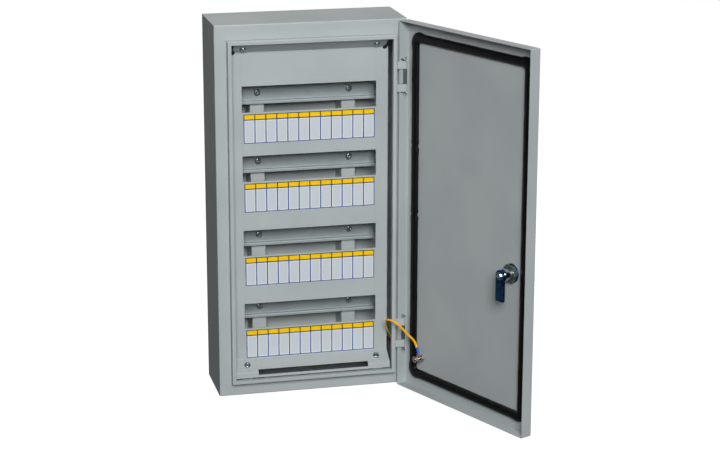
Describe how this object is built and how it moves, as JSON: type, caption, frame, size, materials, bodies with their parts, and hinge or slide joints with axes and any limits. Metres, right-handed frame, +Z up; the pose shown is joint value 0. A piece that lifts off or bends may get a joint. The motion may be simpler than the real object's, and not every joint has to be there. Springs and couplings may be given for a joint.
{
  "type": "breaker panel box",
  "caption": "Surface-mounted steel distribution box with DIN rail rows behind a windowed inner cover and a hinged, gasketed, locking door.",
  "frame": {"origin": "middle of the back face that lies on the wall", "axes": "+Y into the wall, +Z up, +X to the right as seen from the front, towards the hinges"},
  "size_m": [0.4446, 0.4119, 0.6225],
  "materials": {
    "powder_coat": "light grey polyester powder coat with a fine texture",
    "zinc_steel": "bright zinc-plated steel",
    "blue_zinc": "blue-passivated zinc-plated steel",
    "lock_chrome": "chrome-plated die casting",
    "black_foam": "black foamed polyurethane",
    "grey_rubber": "grey moulded rubber",
    "label_film": "printed film with yellow headings and blue lines",
    "brass": "drawn brass",
    "blue_plastic": "blue moulded plastic",
    "green_plastic": "green moulded plastic",
    "copper_plate": "copper-plated steel",
    "tinned_copper": "tinned copper",
    "wire_insulation": "green and yellow PVC insulation"
  },
  "bodies": {
    "cabinet": {"back_and_sides": "powder_coat", "bottom_panel": "powder_coat", "cable_grommets": "grey_rubber", "cover_brackets": "powder_coat", "cover_screws": "zinc_steel", "din_rail_1": "zinc_steel", "din_rail_2": "zinc_steel", "din_rail_3": "zinc_steel", "din_rail_4": "zinc_steel", "earth_bar": "brass", "earth_bar_feet": "green_plastic", "earth_bar_screws": "zinc_steel", "earth_wire": "wire_insulation", "front_frame": "powder_coat", "hinge_pin_lower": "zinc_steel", "hinge_pin_upper": "zinc_steel", "hinge_straps_lower": "powder_coat", "hinge_straps_upper": "powder_coat", "inner_cover": "powder_coat", "label_strip_1": "label_film", "label_strip_2": "label_film", "label_strip_3": "label_film", "label_strip_4": "label_film", "neutral_bar": "brass", "neutral_bar_feet": "blue_plastic", "neutral_bar_screws": "zinc_steel", "rail_screws": "zinc_steel", "rail_support_left": "zinc_steel", "rail_support_right": "zinc_steel", "shell_earth_lug": "tinned_copper", "shell_earth_nuts": "zinc_steel", "shell_earth_stud": "copper_plate", "shell_lug_sleeve": "blue_plastic", "top_panel": "powder_coat"},
    "door": {"door_earth_lug": "tinned_copper", "door_earth_nuts": "zinc_steel", "door_earth_stud": "copper_plate", "door_gasket": "black_foam", "door_lug_sleeve": "blue_plastic", "door_shell": "powder_coat", "hinge_leaf_lower": "powder_coat", "hinge_leaf_upper": "powder_coat", "lock_housing": "lock_chrome", "lock_nut": "zinc_steel", "lock_washer": "blue_zinc"},
    "lock_barrel": {"lock_core": "lock_chrome", "lock_cam": "blue_zinc", "cam_screw": "zinc_steel"}
  },
  "joints": [
    {"name": "door_hinge", "type": "hinge", "parent": "cabinet", "child": "door", "pos_m": [0.152, -0.126, 0], "axis": [0, 0, 1], "range_deg": [-114, 6], "deforming": ["earth_wire"]},
    {"name": "lock_turn", "type": "hinge", "parent": "door", "child": "lock_barrel", "pos_m": [0.25562, -0.36119, -0.054], "axis": [-0.9135, -0.4067, 0], "range_deg": [0, 90]}
  ]
}
